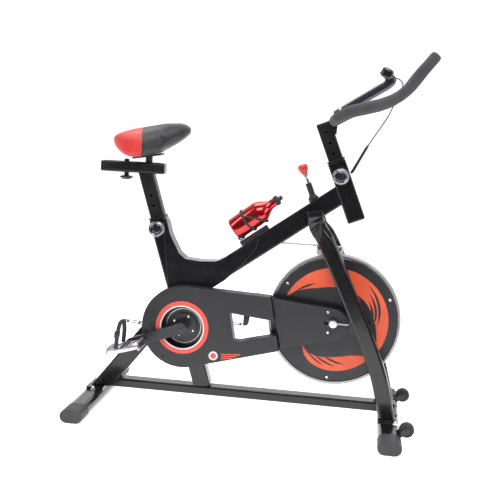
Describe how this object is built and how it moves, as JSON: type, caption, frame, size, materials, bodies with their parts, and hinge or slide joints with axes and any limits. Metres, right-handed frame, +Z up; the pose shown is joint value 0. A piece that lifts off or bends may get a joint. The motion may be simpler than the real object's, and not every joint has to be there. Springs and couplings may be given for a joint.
{
  "type": "indoor spin bike",
  "caption": "Indoor spin bike with a spoked-claw flywheel, chain guard, toe-cage pedals, sliding seat and handlebar posts, push brake and water bottle.",
  "frame": {"origin": "on the floor, under the middle of the bike's length and width", "axes": "+X forward, +Y to the rider's left, +Z up; the drive side with the chain guard is -Y"},
  "size_m": [1.063, 0.52, 1.1478],
  "materials": {
    "frame_paint": "gloss black",
    "post_paint": "satin black",
    "cap_plastic": "matte dark grey",
    "bushing_plastic": "matte black",
    "guard_plastic": "satin charcoal",
    "trim_red": "satin red",
    "flywheel_rim": "brushed",
    "disc_black": "satin black with orange-red claws",
    "steel": "satin",
    "chrome": "polished",
    "chain_steel": "oiled",
    "crank_black": "satin black",
    "pedal_alloy": "machined",
    "cage_black": "matte black",
    "saddle_skin": "red rear, black nose",
    "foam": "matte grey foam",
    "wheel_grey": "matte",
    "console_black": "gloss",
    "lead_black": "matte",
    "knob_red": "gloss red",
    "knob_black": "matte black",
    "felt": "wool felt",
    "bottle_red": "metallic red"
  },
  "bodies": {
    "frame": {"rear_foot": "frame_paint", "front_foot": "frame_paint", "rear_foot_cap_right": "cap_plastic", "rear_foot_cap_left": "cap_plastic", "front_foot_cap_right": "cap_plastic", "front_foot_cap_left": "cap_plastic", "base_rail": "frame_paint", "rear_strut": "frame_paint", "seat_tube": "frame_paint", "top_tube": "frame_paint", "frame_gusset": "frame_paint", "head_tube": "frame_paint", "fork_leg_right": "frame_paint", "fork_leg_left": "frame_paint", "tensioner_right": "chrome", "tensioner_left": "chrome", "guard_outer": "guard_plastic", "guard_inner": "guard_plastic", "guard_front_cover": "guard_plastic", "guard_ring": "trim_red", "flywheel_axle": "steel", "chain": "chain_steel", "bottom_bearing": "steel", "seat_bushing": "bushing_plastic", "head_bushing": "bushing_plastic", "brake_guide": "bushing_plastic", "bottle_cage": "cage_black", "console_lead": "lead_black"},
    "flywheel": {"flywheel": "flywheel_rim", "flywheel_disc_right": "disc_black", "flywheel_disc_left": "disc_black", "sprocket": "steel"},
    "crank": {"crank_spindle": "steel", "chainring": "chain_steel", "crank_arm_right": "crank_black", "crank_arm_left": "crank_black"},
    "pedal_right": {"pedal_right": "pedal_alloy", "toe_cage_right": "cage_black"},
    "pedal_left": {"pedal_left": "pedal_alloy", "toe_cage_left": "cage_black"},
    "seat_post": {"seat_post": "post_paint", "slider_tube": "post_paint"},
    "saddle": {"saddle_base": "knob_black", "saddle": "saddle_skin"},
    "slider_knob": {"slider_knob": "knob_black"},
    "seat_pin": {"seat_pin_knob": "chrome"},
    "head_pin": {"head_pin_knob": "chrome"},
    "handlebar": {"handlebar_post": "post_paint", "handlebar": "post_paint", "grip_right": "foam", "grip_left": "foam", "console": "console_black"},
    "brake_rod": {"brake_rod": "chrome"},
    "brake_knob": {"brake_knob": "knob_red"},
    "brake_arm": {"brake_arm": "steel", "brake_pad": "felt"},
    "bottle": {"bottle": "bottle_red", "bottle_cap": "knob_black"},
    "wheel_right": {"transport_wheel_right": "wheel_grey"},
    "wheel_left": {"transport_wheel_left": "wheel_grey"}
  },
  "joints": [
    {"name": "flywheel_spin", "type": "hinge", "parent": "frame", "child": "flywheel", "pos_m": [0.268, 0, 0.33], "axis": [0, 1, 0], "continuous": true},
    {"name": "crank_spin", "type": "hinge", "parent": "frame", "child": "crank", "pos_m": [-0.2035, 0, 0.278], "axis": [0, 1, 0], "continuous": true},
    {"name": "pedal_right_spin", "type": "hinge", "parent": "crank", "child": "pedal_right", "pos_m": [-0.36513, 0, 0.21917], "axis": [0, 1, 0], "continuous": true},
    {"name": "pedal_left_spin", "type": "hinge", "parent": "crank", "child": "pedal_left", "pos_m": [-0.04187, 0, 0.33683], "axis": [0, 1, 0], "continuous": true},
    {"name": "seat_post_slide", "type": "slide", "parent": "frame", "child": "seat_post", "axis": [-0.2974, 0, 0.9548], "range_m": [-0.105, 0.07]},
    {"name": "saddle_slide", "type": "slide", "parent": "seat_post", "child": "saddle", "axis": [1, 0, 0], "range_m": [-0.03, 0.024]},
    {"name": "slider_knob_turn", "type": "hinge", "parent": "seat_post", "child": "slider_knob", "pos_m": [-0.41712, 0, 0.768], "axis": [0, 0, 1], "range_deg": [0, 360]},
    {"name": "seat_pin_pull", "type": "slide", "parent": "frame", "child": "seat_pin", "axis": [0, -1, 0], "range_m": [0, 0.009], "stiffness_N_per_m": 1200, "springref_m": -0.004},
    {"name": "handlebar_slide", "type": "slide", "parent": "frame", "child": "handlebar", "axis": [-0.3843, 0, 0.9232], "range_m": [-0.07, 0.035], "deforming": ["console_lead"]},
    {"name": "head_pin_pull", "type": "slide", "parent": "frame", "child": "head_pin", "axis": [0, -1, 0], "range_m": [0, 0.009], "stiffness_N_per_m": 1200, "springref_m": -0.004},
    {"name": "brake_push", "type": "slide", "parent": "frame", "child": "brake_rod", "axis": [0.3843, 0, -0.9232], "range_m": [0, 0.0029], "stiffness_N_per_m": 3000, "springref_m": -0.002},
    {"name": "brake_knob_turn", "type": "hinge", "parent": "brake_rod", "child": "brake_knob", "pos_m": [0.19315, 0, 0.67221], "axis": [-0.3843, 0, 0.9232], "range_deg": [-360, 720]},
    {"name": "brake_arm_bend", "type": "hinge", "parent": "frame", "child": "brake_arm", "pos_m": [0.0705, 0, 0.5598], "axis": [0, 1, 0], "range_deg": [0, 0.95]},
    {"name": "bottle_pull", "type": "slide", "parent": "frame", "child": "bottle", "axis": [0.7891, 0, 0.6143], "range_m": [0, 0.075]},
    {"name": "wheel_right_spin", "type": "hinge", "parent": "frame", "child": "wheel_right", "pos_m": [0.509, -0.165, 0.05], "axis": [0, 1, 0], "continuous": true},
    {"name": "wheel_left_spin", "type": "hinge", "parent": "frame", "child": "wheel_left", "pos_m": [0.509, 0.165, 0.05], "axis": [0, 1, 0], "continuous": true}
  ],
  "couplings": [
    {"joint": "crank_spin", "follows": "flywheel_spin", "ratio": 0.28846},
    {"joint": "brake_arm_bend", "follows": "brake_push", "rad_per_m": 5.4619}
  ]
}
